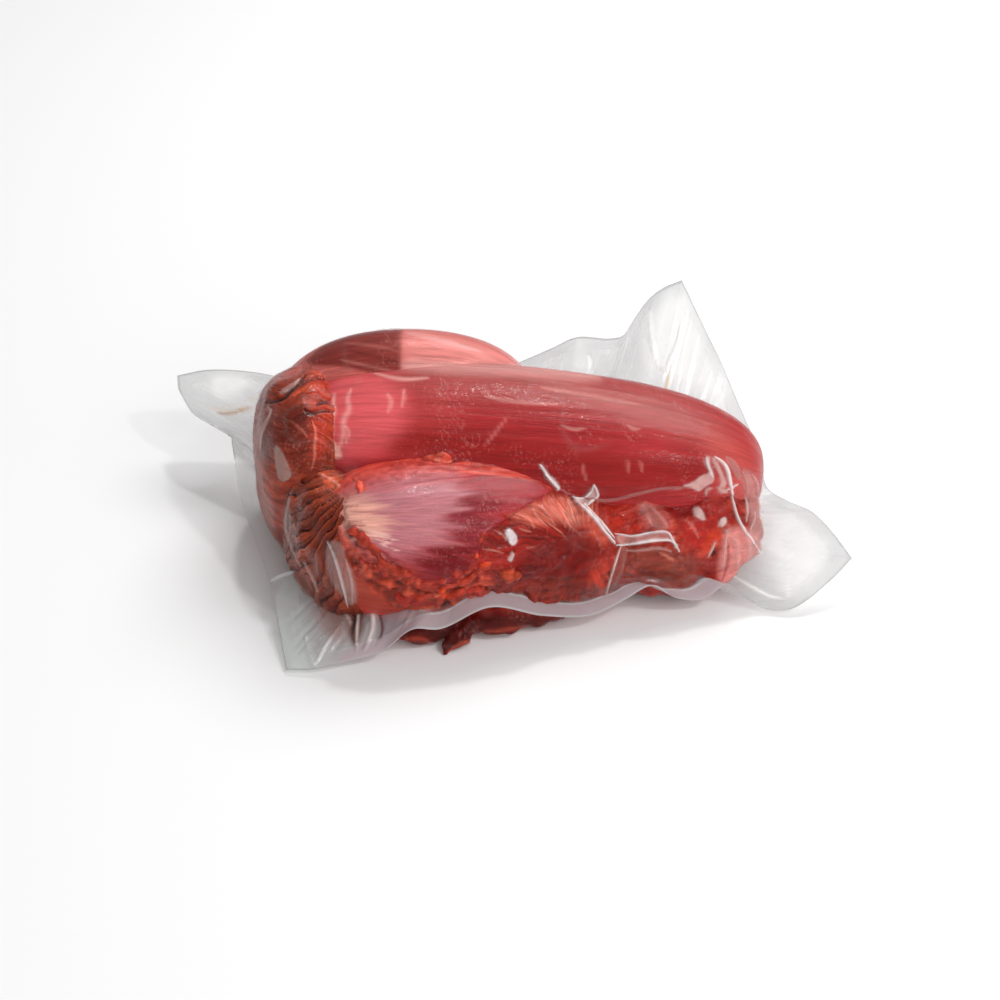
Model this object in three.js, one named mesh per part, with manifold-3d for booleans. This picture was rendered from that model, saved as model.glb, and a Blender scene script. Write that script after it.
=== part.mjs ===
// A vacuum-packed joint of beef: one boneless cut of several muscles, drawn tight
// into a clear pouch whose welded margin stands off the meat all the way round.
// Millimetres, +Z up. The pouch's long edges run along X and its front faces -Y.
// The origin is on the table, under the middle of the pack's bounding box.

import * as THREE from "three";
import { mergeVertices } from "three/addons/utils/BufferGeometryUtils.js";
import Module from "manifold-3d";

const wasm = await Module();
wasm.setup();

const TAU = 2 * Math.PI;
const DEGREE = Math.PI / 180;

// The meat
const LONG_LENGTH = 221; // the long muscle, from its cut end to its round end
const LONG_WIDTH = 84;
const LONG_HEIGHT = 87;
const LONG_TURN = -21 * DEGREE; // it lies across the pouch, its round end to the front right
const FIBRE_RIDGE = 5.2; // spacing of the fibre bundles on a cut end
const TORN_LUMP = 3.6; // mean half size of the torn knobs along the membrane's edge
const KNOB_SPACING = 1.9; // from knob to knob, in half sizes
const KNOB_SEED = 7;
const PATH_STEPS = 32; // points that a row of knobs is laid out from
const TABLE_SIZE = 400; // the block that levels the meat's underside
const TABLE_DEPTH = 60;

// The pouch
const CLEARANCE = 0.35; // between the pouch's margin and the meat it is shrunk round
const MARGIN_THICKNESS = 1.2;
const MARGIN_STEPS = 4; // facets from the meat out to the cut edge
const WELD_FRONT = -97.5; // the cut edge of the front weld
const WELD_BACK = -83; // where the film of the front weld leaves the meat

const vector = (x, y, z) => new THREE.Vector3(x, y, z);

// A closed geometry as a solid that can be joined and cut.
function solid(geometry) {
  const bare = new THREE.BufferGeometry();
  bare.setAttribute("position", geometry.getAttribute("position"));
  bare.setIndex(geometry.getIndex());
  const merged = mergeVertices(bare, 1e-4);
  return new wasm.Manifold(
    new wasm.Mesh({
      numProp: 3,
      vertProperties: new Float32Array(merged.getAttribute("position").array),
      triVerts: new Uint32Array(merged.getIndex().array),
    }),
  );
}

// A solid as a geometry that a mesh can carry.
function geometryOf(manifold) {
  const mesh = manifold.getMesh();
  const geometry = new THREE.BufferGeometry();
  geometry.setAttribute("position", new THREE.BufferAttribute(mesh.vertProperties, 3));
  geometry.setIndex(new THREE.BufferAttribute(mesh.triVerts, 1));
  geometry.computeVertexNormals();
  return geometry;
}

// A smooth, repeatable wobble between about -1 and 1.
function wobble(x, y, z, seed = 0) {
  return (
    0.5 * Math.sin(x + 1.7 * y + seed) +
    0.3 * Math.sin(1.9 * y - 1.3 * z + 2.1 * seed) +
    0.2 * Math.sin(2.3 * z + 1.1 * x + 0.7 * seed)
  );
}

// The same draws on every run, from 0 to 1.
function seeded(seed) {
  let state = seed;
  return () => {
    state = (state * 16807) % 2147483647;
    return state / 2147483647;
  };
}

const power = (value, exponent) => Math.sign(value) * Math.abs(value) ** exponent;

// A muscle's skin: at(along, angle) is the point of it at that share of its length, from -1 to 1,
// and that turn round its long axis, from its own +Y up over its top. blunt squares the ends and
// girth the section, taper thickens the far end, and relief(point, along, angle) raises the skin.
function skin({
  half,
  centre,
  yaw = 0,
  pitch = 0,
  roll = 0,
  blunt = 2,
  girth = 2,
  taper = 0,
  relief = () => 0,
}) {
  const place = new THREE.Matrix4()
    .makeTranslation(...centre)
    .multiply(new THREE.Matrix4().makeRotationZ(yaw))
    .multiply(new THREE.Matrix4().makeRotationY(-pitch))
    .multiply(new THREE.Matrix4().makeRotationX(roll));
  return (along, angle, grow = 0) => {
    const radius = (1 - Math.abs(along) ** blunt) ** (1 / blunt);
    const swell = radius * (1 + taper * along);
    const across = power(Math.cos(angle), 2 / girth);
    const up = power(Math.sin(angle), 2 / girth);
    const point = vector(along * half[0], across * swell * half[1], up * swell * half[2]);
    const outward = vector(
      power(along, blunt - 1) / half[0],
      (radius * across) / half[1],
      (radius * up) / half[2],
    ).normalize();
    point.addScaledVector(outward, grow + relief(point, along, angle));
    return point.applyMatrix4(place);
  };
}

// A muscle as a solid: a sphere with its poles on the long axis, drawn out to that skin.
function muscle(at, around, lengthwise, grow) {
  const sphere = new THREE.SphereGeometry(1, around, lengthwise);
  sphere.rotateZ(-Math.PI / 2);
  sphere.deleteAttribute("normal");
  sphere.deleteAttribute("uv");
  const geometry = mergeVertices(sphere, 1e-5);
  const position = geometry.getAttribute("position");
  for (let i = 0; i < position.count; i += 1) {
    const along = THREE.MathUtils.clamp(position.getX(i), -1, 1);
    const angle = Math.atan2(position.getZ(i), position.getY(i));
    const point = at(along, angle, grow);
    position.setXYZ(i, point.x, point.y, point.z);
  }
  return solid(geometry);
}

// Fibre bundles that stand out on a cut end, fanning from one side.
function cutFibres(depth, spacing, slant, seed) {
  return (point, along) => {
    const onEnd = THREE.MathUtils.smoothstep(-along, 0.15, 0.6);
    const line = point.z + slant * point.y + 1.6 * wobble(point.y / 7, point.z / 9, 0, seed);
    return depth * onEnd * (Math.abs(Math.sin((Math.PI * line) / spacing)) - 0.5);
  };
}

// Broad, shallow muscle bundles that run the length of a muscle.
function bundles(depth, count, seed) {
  return (point, along, angle) =>
    depth * Math.sin(count * angle + 1.4 * along + seed) * (1 - along * along) +
    0.8 * depth * wobble(point.x / 23, point.y / 17, point.z / 15, seed);
}

// Torn, knobbly meat.
function torn(depth, size, seed) {
  return (point) =>
    depth * wobble(point.x / size, point.y / size, point.z / size, seed) +
    0.5 * depth * wobble((2.3 * point.x) / size, (2.1 * point.y) / size, (2.6 * point.z) / size, seed + 2);
}

const MUSCLES = {
  // makes the back and the round right end
  long: {
    half: [LONG_LENGTH / 2, LONG_WIDTH / 2, LONG_HEIGHT / 2],
    centre: [2, -21, 41],
    yaw: LONG_TURN,
    blunt: 2.7,
    girth: 2.15,
    taper: -0.13,
    relief: bundles(1, 5, 0.6),
    segments: [40, 32],
  },
  // swells out behind the long one
  back: {
    half: [60, 32, 40],
    centre: [-38, 18, 50.5],
    yaw: -16 * DEGREE,
    blunt: 2.3,
    relief: bundles(1, 4, 2),
    segments: [28, 20],
  },
  // the long muscle's cut end, at the upper left
  upperEnd: {
    half: [23, 40, 41],
    centre: [-88, 8, 40],
    yaw: -8 * DEGREE,
    blunt: 2.6,
    girth: 2.3,
    relief: cutFibres(1.8, FIBRE_RIDGE, 0.25, 1),
    segments: [44, 28],
  },
  // the fan-shaped muscle in front, under its silver membrane
  front: {
    half: [60, 34, 34],
    centre: [-38, -57, 34],
    yaw: -7 * DEGREE,
    pitch: -3 * DEGREE,
    roll: 14 * DEGREE,
    blunt: 2.6,
    girth: 2.3,
    taper: -0.12,
    relief: bundles(0.7, 4, 3),
    segments: [36, 24],
  },
  // the front muscle's cut end, at the lower left
  lowerEnd: {
    half: [18, 31, 31],
    centre: [-86, -46, 31],
    yaw: 14 * DEGREE,
    blunt: 2.5,
    girth: 2.3,
    relief: cutFibres(2, FIBRE_RIDGE, 0.9, 4),
    segments: [44, 26],
  },
  // ragged meat right of the membrane
  ragged: {
    half: [36, 27, 26],
    centre: [6, -66, 27],
    blunt: 2.4,
    relief: torn(1.6, 5, 1),
    segments: [36, 22],
  },
  // small trimmings at the front right
  trimmings: {
    half: [44, 21, 24],
    centre: [56, -70, 25],
    yaw: -4 * DEGREE,
    blunt: 2.6,
    relief: torn(1.8, 6, 5),
    segments: [36, 22],
  },
  // loose meat that spreads on the table under the front weld
  loose: {
    half: [56, 20, 12],
    centre: [-14, -73, 8],
    yaw: 4 * DEGREE,
    blunt: 2.4,
    relief: torn(1.6, 6, 8),
    segments: [36, 16],
  },
  // two scraps of it folded over at its front edge
  scrap: {
    half: [13, 9, 7],
    centre: [-46, -88, 5],
    yaw: 24 * DEGREE,
    blunt: 2.4,
    relief: torn(0.9, 4, 3),
    segments: [18, 10],
  },
  smallScrap: {
    half: [9, 7, 6],
    centre: [-32, -90, 4],
    yaw: -50 * DEGREE,
    blunt: 2.4,
    relief: torn(0.8, 4, 9),
    segments: [16, 10],
  },
};

// Rows of torn knobs on the front muscle: along the membrane's lower edge, and along its foot.
// A place is [along, angle].
const TORN_ROWS = [
  [[-0.74, 2.1], [-0.55, 2.58], [-0.24, 2.84], [0.04, 2.67], [0.15, 2.2]],
  [[-0.5, 3.05], [-0.2, 3.1], [0.15, 3]],
];

function tornRow(at, places, size, random) {
  const path = new THREE.CatmullRomCurve3(places.map(([along, angle]) => vector(along, angle, 0)));
  const seats = path.getSpacedPoints(PATH_STEPS).map(({ x, y }) => at(x, y));
  const line = new THREE.CatmullRomCurve3(seats);
  const count = Math.round(line.getLength() / (KNOB_SPACING * TORN_LUMP));
  return Array.from({ length: count }, (_, i) => {
    const knob = new THREE.IcosahedronGeometry(1, 1);
    knob.deleteAttribute("normal");
    knob.deleteAttribute("uv");
    const swell = () => size * (0.6 + 0.8 * random());
    knob.scale(1.4 * swell(), swell(), swell());
    knob.rotateZ(TAU * random());
    knob.rotateX(TAU * random());
    const seat = line.getPointAt((i + 0.3 + 0.4 * random()) / count);
    knob.translate(seat.x, seat.y, seat.z + size * (random() - 0.5));
    return solid(knob);
  });
}

// The whole joint, flat where it lies on the table. grow thickens every muscle alike.
function joint(grow = 0) {
  const underTable = new THREE.BoxGeometry(TABLE_SIZE, TABLE_SIZE, TABLE_DEPTH);
  underTable.translate(0, 0, -TABLE_DEPTH / 2 - grow);
  const random = seeded(KNOB_SEED);
  const knobs = TORN_ROWS.flatMap((places) =>
    tornRow(skin(MUSCLES.front), places, TORN_LUMP + grow, random),
  );
  const lobes = Object.values(MUSCLES).map(({ segments, ...form }) =>
    muscle(skin(form), ...segments, grow),
  );
  const [first, ...rest] = [...lobes, ...knobs];
  return rest.reduce((sum, next) => sum.add(next), first).subtract(solid(underTable));
}

// The pouch's margin

// A side of the pouch runs from corner to corner. Its edge is the cut edge of the film and its
// root is where the film leaves the meat, a little under the meat's own surface.
const CORNERS = {
  frontLeft: { edge: [-119.5, -87, 2], root: [-84, -60, 18] },
  frontRight: { edge: [133, -101, 19], root: [82, -68, 17] },
  backRight: { edge: [112, 70, 67], root: [66, -16, 44] },
  backLeft: { edge: [-132, 95, 40], root: [-88, 28, 38] },
};
const SIDES = [
  // welded shut, it waves over the meat's front between an ear on the table and one in the air
  {
    from: "frontLeft",
    to: "frontRight",
    edge: [
      [-109, -91, 3],
      [-92, -92.5, 5.5],
      [-79, -94, 8.5],
      [-66, WELD_FRONT, 20.5],
      [-54, WELD_FRONT, 18],
      [-32, WELD_FRONT, 25],
      [-8, WELD_FRONT, 15],
      [14, WELD_FRONT, 10.5],
      [29, WELD_FRONT, 16],
      [41, WELD_FRONT, 21],
      [53, WELD_FRONT, 11.5],
      [67, WELD_FRONT, 7.5],
      [79, -100, 7],
      [92, -105, 2.5],
      [103, -109, 3.5],
      [122, -105, 12],
    ],
    root: [
      [-76, -74, 18],
      [-64, WELD_BACK, 24],
      [-54, WELD_BACK, 23],
      [-32, WELD_BACK, 31],
      [-8, WELD_BACK, 21],
      [14, WELD_BACK, 14.5],
      [29, WELD_BACK, 22],
      [41, WELD_BACK, 27],
      [53, WELD_BACK, 17],
      [67, WELD_BACK, 12],
      [80, -78, 14],
    ],
    stations: 52,
  },
  // narrow where it passes the round end of the long muscle
  {
    from: "frontRight",
    to: "backRight",
    edge: [
      [126, -94, 29.5],
      [121, -84.5, 34],
      [117, -62, 26.5],
      [112, -51, 27],
      [112, -39, 38],
      [110, -15, 50.5],
      [110, 10, 58.5],
      [111, 33, 61],
    ],
    root: [[90, -58, 24], [88, -46, 32], [82, -34, 40], [76, -24, 44]],
    stations: 23,
  },
  // stands up behind the meat, highest at its right corner
  {
    from: "backRight",
    to: "backLeft",
    edge: [
      [102.5, 70, 64],
      [95.5, 70, 59],
      [88.5, 70, 49],
      [83, 70, 40.5],
      [76, 69, 40.5],
      [58, 67, 45.5],
      [45, 66, 42],
      [10, 66, 32],
      [-30, 68, 27],
      [-62, 74, 32],
      [-87.5, 82, 40],
      [-103, 88, 42],
      [-118.5, 93, 42],
    ],
    root: [[44, -4, 42], [4, 22, 40], [-46, 40, 38]],
    stations: 34,
  },
  // runs down past the cut ends, from the raised back ear to the one on the table
  {
    from: "backLeft",
    to: "frontLeft",
    edge: [
      [-133, 87, 38],
      [-131.8, 80, 36],
      [-129, 71.5, 33],
      [-119, 67, 26],
      [-113, 68, 22],
      [-113, 62, 18],
      [-114, 52, 15.5],
      [-117, 23, 14],
      [-116.5, -8, 14],
      [-116.3, -40, 13],
    ],
    root: [[-94, 10, 26], [-93, -30, 22]],
    stations: 23,
  },
];

// The film between root and edge, as one [root, edge] pair for each station round the pouch.
function filmLines() {
  return SIDES.flatMap(({ from, to, edge, root, stations }) => {
    const curve = (kind, points) =>
      new THREE.CatmullRomCurve3(
        [CORNERS[from][kind], ...points, CORNERS[to][kind]].map((point) => vector(...point)),
        false,
        "centripetal",
      );
    const rootCurve = curve("root", root);
    const edgeCurve = curve("edge", edge);
    return Array.from({ length: stations }, (_, i) => [
      rootCurve.getPointAt(i / stations),
      edgeCurve.getPointAt(i / stations),
    ]);
  });
}

// The margin as a closed ring: a torus whose round section is pressed flat into a sheet.
function margin() {
  const lines = filmLines();
  const around = 2 * (MARGIN_STEPS + 1);
  const ring = new THREE.TorusGeometry(1, 0.5, around, lines.length);
  const position = ring.getAttribute("position");
  const uv = ring.getAttribute("uv");
  const film = (station, step) => {
    const [root, edge] = lines[(station + lines.length) % lines.length];
    return root.clone().lerp(edge, step / MARGIN_STEPS);
  };
  for (let i = 0; i < position.count; i += 1) {
    const station = Math.round(uv.getX(i) * lines.length);
    const turn = Math.round(uv.getY(i) * around) % around;
    const onTop = turn <= MARGIN_STEPS;
    const step = onTop ? MARGIN_STEPS - turn : turn - MARGIN_STEPS - 1;
    const outwards = film(station, MARGIN_STEPS).sub(film(station, 0));
    const onwards = film(station + 1, step).sub(film(station - 1, step));
    const upwards = outwards.cross(onwards).normalize();
    const point = film(station, step);
    point.addScaledVector(upwards, (onTop ? 0.5 : -0.5) * MARGIN_THICKNESS);
    position.setXYZ(i, point.x, point.y, point.z);
  }
  ring.deleteAttribute("normal");
  ring.deleteAttribute("uv");
  return solid(ring);
}

const meat = new THREE.Mesh(
  geometryOf(joint()),
  new THREE.MeshStandardMaterial({ color: 0xa8282a, roughness: 0.35, metalness: 0 }),
);
meat.name = "meat";

const pouch = new THREE.Mesh(
  geometryOf(margin().subtract(joint(CLEARANCE))),
  new THREE.MeshStandardMaterial({
    color: 0xe9ebe8,
    roughness: 0.15,
    metalness: 0,
    transparent: true,
    opacity: 0.35,
  }),
);
pouch.name = "pouch";

const pack = new THREE.Group();
pack.add(meat, pouch);

const middle = new THREE.Box3().setFromObject(pack).getCenter(vector(0, 0, 0));
pack.position.set(-middle.x, -middle.y, 0);

export default pack;
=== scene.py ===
# The looks of a vacuum packed joint of beef: raw muscle, its silver membrane and torn edges,
# the clear film shrunk onto it, and the pouch's welded margin with its four flared ears.
# Sizes are in millimetres until a mesh is written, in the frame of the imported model.
import itertools
import math
import re
from collections import namedtuple

import bmesh
import bpy
import numpy as np
from mathutils import Matrix, Vector
from mathutils.bvhtree import BVHTree


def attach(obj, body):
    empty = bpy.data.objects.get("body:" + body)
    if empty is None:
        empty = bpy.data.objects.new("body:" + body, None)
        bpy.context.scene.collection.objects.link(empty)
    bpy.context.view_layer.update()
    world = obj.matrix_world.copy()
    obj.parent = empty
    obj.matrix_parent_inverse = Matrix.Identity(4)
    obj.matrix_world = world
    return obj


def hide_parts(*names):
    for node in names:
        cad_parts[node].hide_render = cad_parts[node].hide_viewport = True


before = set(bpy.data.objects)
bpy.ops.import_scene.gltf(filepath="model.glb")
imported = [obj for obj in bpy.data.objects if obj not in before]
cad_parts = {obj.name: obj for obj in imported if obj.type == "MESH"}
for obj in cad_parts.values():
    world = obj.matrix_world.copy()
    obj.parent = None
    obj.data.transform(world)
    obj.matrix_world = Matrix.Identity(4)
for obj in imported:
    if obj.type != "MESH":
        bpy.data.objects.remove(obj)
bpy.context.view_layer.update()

MM = 0.001
DEGREE = math.pi / 180

# The camera, as the photograph was taken
VIEW_TARGET = np.array([2.935, 16.11, 0.0])
VIEW_ELEVATION = 36 * DEGREE
VIEW_AZIMUTH = -16 * DEGREE
VIEW_DISTANCE = 1110
LENS = 85
SENSOR = 36
PHOTO_SIZE = 1000
FOCAL = PHOTO_SIZE * LENS / SENSOR
BACK = np.array(
    [
        math.sin(VIEW_AZIMUTH) * math.cos(VIEW_ELEVATION),
        -math.cos(VIEW_AZIMUTH) * math.cos(VIEW_ELEVATION),
        math.sin(VIEW_ELEVATION),
    ]
)
RIGHT = np.array([math.cos(VIEW_AZIMUTH), math.sin(VIEW_AZIMUTH), 0.0])
UP = np.cross(BACK, RIGHT)
EYE = VIEW_TARGET + BACK * VIEW_DISTANCE

# The pack
SHIFT = np.array([-0.065, 7.11, 0.0])  # from the joint's own middle to the pack's
FILM_GAP = 0.4  # film and juice between the meat and the film's outer face
FILM_THICKNESS = 0.3
PIXEL = 0.47  # a photo pixel at the pack
FIBRE_STRETCH = 14  # a fibre bundle's length over its width
RIDGE_SPACING = 5.2  # fibre bundles on a cut end
RIDGE_DEPTH = 1.9
FINE_RIDGE_SPACING = 1.9
TORN_VOXEL = 0.8
CLING_VOXEL = 1.4
FOLD_REACH = 5  # pixels each side of a fold that are meshed finely
KNOB_SPACING = 1.3  # from torn knob to torn knob, in half sizes
KNOB_SEED = 7
WELD_WIDTH = 8.5
STATIONS_PER_MM = 1.3  # round the pouch's margin
MARGIN_STEPS = 30  # from the meat out to the cut edge
PLEAT_STRETCH = 6  # a pleat's length over its width

# Hues as sRGB, other than those of the marks
TORN_HUES = "8e2119", "3c0906", "c44c34"  # torn meat: flat, painted shade in its grooves and painted light on its crests
CRUMB_HUES = "3f0d08", "dc5c40"  # crumbled edges: painted shade in their pits and painted light on their crumbs
SKIN_HUE = "cf8a82"  # crinkles of skin
MILK_AND_GLARE_HUE = "e9e2df"  # film on the meat, where it is white, and the base tint of highlights painted on it
MARGIN_HUE = "d8d8d8"  # film off the meat
WELD_HUE = "d8cace"
CUT_EDGE_HUE = "8c8c8c"

# Photograph and noise


def in_photo(points):
    """The photograph's pixels that points in millimetres fall on."""
    away = points - EYE
    depth = -away @ BACK
    across = PHOTO_SIZE / 2 + FOCAL * (away @ RIGHT) / depth
    down = PHOTO_SIZE / 2 - FOCAL * (away @ UP) / depth
    return np.stack([across, down], axis=-1)


def smooth_step(value, low, high):
    share = np.clip((value - low) / (high - low), 0, 1)
    return share * share * (3 - 2 * share)


def lumps(points, size, seed=0):
    """Smooth noise from -1 to 1 with lumps of about that size."""
    place = points / size + 512.37
    cell = np.floor(place).astype(np.int64)
    part = place - cell
    part = part * part * (3 - 2 * part)
    total = np.zeros(len(points))
    for corner in itertools.product((0, 1), repeat=3):
        x, y, z = (cell + corner).T
        mix = (x * 73856093) ^ (y * 19349663) ^ (z * 83492791) ^ (seed * 49979687)
        mix = (mix ^ (mix >> 13)) * 1274126177 & 0x7FFFFFFF
        value = ((mix ^ (mix >> 16)) & 0xFFFF) / 32767.5 - 1
        total += value * np.prod(np.where(corner, part, 1 - part), axis=1)
    return total


def wobble(x, y, z, seed=0):
    return (
        0.5 * np.sin(x + 1.7 * y + seed)
        + 0.3 * np.sin(1.9 * y - 1.3 * z + 2.1 * seed)
        + 0.2 * np.sin(2.3 * z + 1.1 * x + 0.7 * seed)
    )


def power(value, exponent):
    return np.sign(value) * np.abs(value) ** exponent


def linear(hue):
    """An sRGB hex colour as linear red, green and blue."""
    parts = np.array([int(hue[i : i + 2], 16) / 255 for i in (0, 2, 4)])
    return np.where(parts <= 0.04045, parts / 12.92, ((parts + 0.055) / 1.055) ** 2.4)


def blended(colours, hue, share):
    """Colours with that share of a hue in them."""
    share = share[:, None]
    return (1 - share) * colours + share * linear(hue)


def run_along(points):
    """How far along a path each of its points lies."""
    steps = np.linalg.norm(np.diff(points, axis=0), axis=1)
    return np.concatenate([[0], np.cumsum(steps)])


# Marks: what the photograph shows at a place, given by its pixels. A closed mark is an area, and
# an open one a line. soft is the width of its edge in pixels, lift how far it stands out in mm.
Mark = namedtuple("Mark", "closed hue amount soft lift points")
MARK_PATTERN = re.compile(r"(area|line) (\w+) (\S+) (\S+) (\S+) ([-\d.,/\s]+)")


def read_marks(text):
    """The marks in a text: area or line, sRGB hue, amount, softness and lift, and then points,
    across and down the photograph. Slashes part the points of marks that look the same."""
    found = []
    for kind, hue, amount, soft, lift, paths in MARK_PATTERN.findall(text):
        for path in paths.split("/"):
            points = [tuple(map(float, point.split(","))) for point in path.split()]
            found.append(Mark(kind == "area", hue, float(amount), float(soft), float(lift), points))
    return found


def rounded(points, closed):
    """Corners cut, once round an area and twice along a line, so that a mark has no kinks."""
    path = np.array(points, float)
    for _ in range(1 if closed else 2):
        after = np.roll(path, -1, axis=0) if closed else path[1:]
        before = path if closed else path[:-1]
        cut = np.stack([0.75 * before + 0.25 * after, 0.25 * before + 0.75 * after], axis=1)
        cut = cut.reshape(-1, 2)
        path = cut if closed else np.vstack([path[:1], cut, path[-1:]])
    return path


def mark_share(mark, pixels):
    """How much of a mark each pixel takes, from 0 to 1."""
    path = rounded(mark.points, mark.closed)
    share = np.zeros(len(pixels))
    near = np.all(
        (pixels > path.min(axis=0) - 2 * mark.soft) & (pixels < path.max(axis=0) + 2 * mark.soft),
        axis=1,
    )
    spots = pixels[near]
    if not len(spots):
        return share
    ends = np.roll(path, -1, axis=0) if mark.closed else path[1:]
    starts = path if mark.closed else path[:-1]
    lengths = np.linalg.norm(ends - starts, axis=1)
    run = np.concatenate([[0], np.cumsum(lengths)]) / lengths.sum()
    nearest = np.full(len(spots), 1e9)
    at = np.zeros(len(spots))
    inside = np.zeros(len(spots), bool)
    for i, (start, end) in enumerate(zip(starts, ends)):
        side = end - start
        reach = np.clip(((spots - start) @ side) / (side @ side + 1e-9), 0, 1)
        gap = np.linalg.norm(spots - start - reach[:, None] * side, axis=1)
        at = np.where(gap < nearest, run[i] + reach * (run[i + 1] - run[i]), at)
        nearest = np.minimum(nearest, gap)
        crosses = (start[1] > spots[:, 1]) != (end[1] > spots[:, 1])
        cut = start[0] + (spots[:, 1] - start[1]) * side[0] / (side[1] if side[1] else 1e-9)
        inside ^= crosses & (spots[:, 0] < cut)
    if mark.closed:
        depth = np.where(inside, nearest, -nearest)
        share[near] = smooth_step(depth, -mark.soft, mark.soft)
    else:
        taper = 0.22 + 0.78 * np.sin(math.pi * np.clip(at, 0, 1)) ** 0.6
        share[near] = 1 - smooth_step(nearest, 0, mark.soft * taper)
    return share


def facing(normals):
    """1 where a surface faces the photograph's camera, 0 where it turns away."""
    return smooth_step(normals @ BACK, 0.02, 0.25)


# Meshes


def mesh_from(bm, name):
    """A bmesh, used up, as a mesh."""
    mesh = bpy.data.meshes.new(name)
    bm.to_mesh(mesh)
    bm.free()
    return mesh


def placed(name, data):
    """An object in the scene, at its origin."""
    piece = bpy.data.objects.new(name, data)
    bpy.context.scene.collection.objects.link(piece)
    return piece


def new_piece(name, bm, material, node):
    """A piece of the pack in metres that rides on the model's one body."""
    for vertex in bm.verts:
        vertex.co *= MM
    mesh = mesh_from(bm, name)
    mesh.materials.append(material)
    mesh.polygons.foreach_set("use_smooth", [True] * len(mesh.polygons))
    piece = placed(name, mesh)
    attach(piece, "root")
    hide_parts(node)
    return piece


def points_of(bm):
    return np.array([vertex.co for vertex in bm.verts])


def move_to(bm, points):
    for vertex, point in zip(bm.verts, points):
        vertex.co = point


def set_down(bm, points, height):
    """Moves vertices to points, but none lower than that height."""
    points[:, 2] = np.maximum(points[:, 2], height)
    move_to(bm, points)


def add_attribute(piece, name, kind, values):
    layer = piece.data.attributes.new(name, kind, "POINT")
    key = {"FLOAT": "value", "FLOAT_VECTOR": "vector", "FLOAT_COLOR": "color"}[kind]
    layer.data.foreach_set(key, np.ascontiguousarray(values, np.float32).ravel())


def add_tint(piece, name, colours):
    opaque = np.ones((len(colours), 1))
    add_attribute(piece, name, "FLOAT_COLOR", np.hstack([colours, opaque]))


def apply_remesh(bm, voxel):
    """One skin round everything in bm, in even facets."""
    mesh = mesh_from(bm, "remeshed")
    piece = placed("remeshed", mesh)
    remesh = piece.modifiers.new("remesh", "REMESH")
    remesh.mode = "VOXEL"
    remesh.voxel_size = voxel
    evaluated = piece.evaluated_get(bpy.context.evaluated_depsgraph_get())
    result = bmesh.new()
    result.from_mesh(evaluated.to_mesh())
    bpy.data.objects.remove(piece)
    bpy.data.meshes.remove(mesh)
    bmesh.ops.recalc_face_normals(result, faces=result.faces)
    return result


def smoothed(bm, times):
    for _ in range(times):
        bmesh.ops.smooth_vert(
            bm, verts=bm.verts, factor=0.5, use_axis_x=True, use_axis_y=True, use_axis_z=True
        )


def normals_of(bm):
    bm.normal_update()
    return np.array([vertex.normal for vertex in bm.verts])


# Materials. Sizes of noise are in metres, but in millimetres along "fibre"

BUNDLE_SIZE = 2.8
THREAD_SIZE = 0.8
CRINKLE_SIZE = 0.0011
CRINKLE_PATCH_SIZE = 0.02
PUCKER_SIZE = 0.009
RIPPLE_SIZE = 0.0022
GLOSS_LIMIT = 0.13  # the most light that clear film mirrors, edge on


def add_node(tree, kind, feeds=None, **settings):
    """A node with its settings, each input fed by a socket or set to a value."""
    node = tree.nodes.new(kind)
    for name, value in settings.items():
        setattr(node, name, value)
    for key, value in (feeds or {}).items():
        if isinstance(value, bpy.types.NodeSocket):
            tree.links.new(value, node.inputs[key])
        else:
            node.inputs[key].default_value = value
    return node


def new_material(name):
    material = bpy.data.materials.new(name)
    material.use_nodes = True
    material.node_tree.nodes.clear()
    return material, material.node_tree


def attribute(tree, name, output):
    return add_node(tree, "ShaderNodeAttribute", attribute_name=name).outputs[output]


def object_place(tree):
    return add_node(tree, "ShaderNodeTexCoord").outputs["Object"]


def ramp(tree, factor, stops):
    node = add_node(tree, "ShaderNodeValToRGB", {"Fac": factor})
    elements = node.color_ramp.elements
    while len(elements) < len(stops):
        elements.new(0.5)
    for element, (place, grey) in zip(elements, stops):
        element.position = place
        element.color = (grey, grey, grey, 1)
    return node.outputs["Color"]


def mixed(tree, blend, factor, *colours):
    """The second colour blended into the first. A colour is a socket or an sRGB hex."""
    first, second = ((*linear(c), 1) if isinstance(c, str) else c for c in colours)
    return add_node(
        tree, "ShaderNodeMix", {0: factor, 6: first, 7: second}, data_type="RGBA", blend_type=blend
    ).outputs[2]


def noise(tree, place, size, detail, roughness=0.55, distortion=0.0):
    feeds = {"Scale": 1 / size, "Detail": detail, "Roughness": roughness, "Distortion": distortion}
    return add_node(tree, "ShaderNodeTexNoise", {"Vector": place, **feeds}).outputs["Fac"]


def combined(tree, operation, first, second):
    node = add_node(tree, "ShaderNodeMath", {0: first, 1: second}, operation=operation)
    return node.outputs["Value"]


def bumped(tree, height, strength, distance):
    feeds = {"Height": height, "Strength": strength, "Distance": distance}
    return add_node(tree, "ShaderNodeBump", feeds).outputs["Normal"]


def shader(tree, kind, **feeds):
    """A shader node's output, its inputs named with underscores for spaces."""
    feeds = {key.replace("_", " "): value for key, value in feeds.items()}
    return add_node(tree, kind, feeds).outputs[0]


def mixed_shader(tree, share, first, second):
    return add_node(tree, "ShaderNodeMixShader", {0: share, 1: first, 2: second}).outputs[0]


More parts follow.
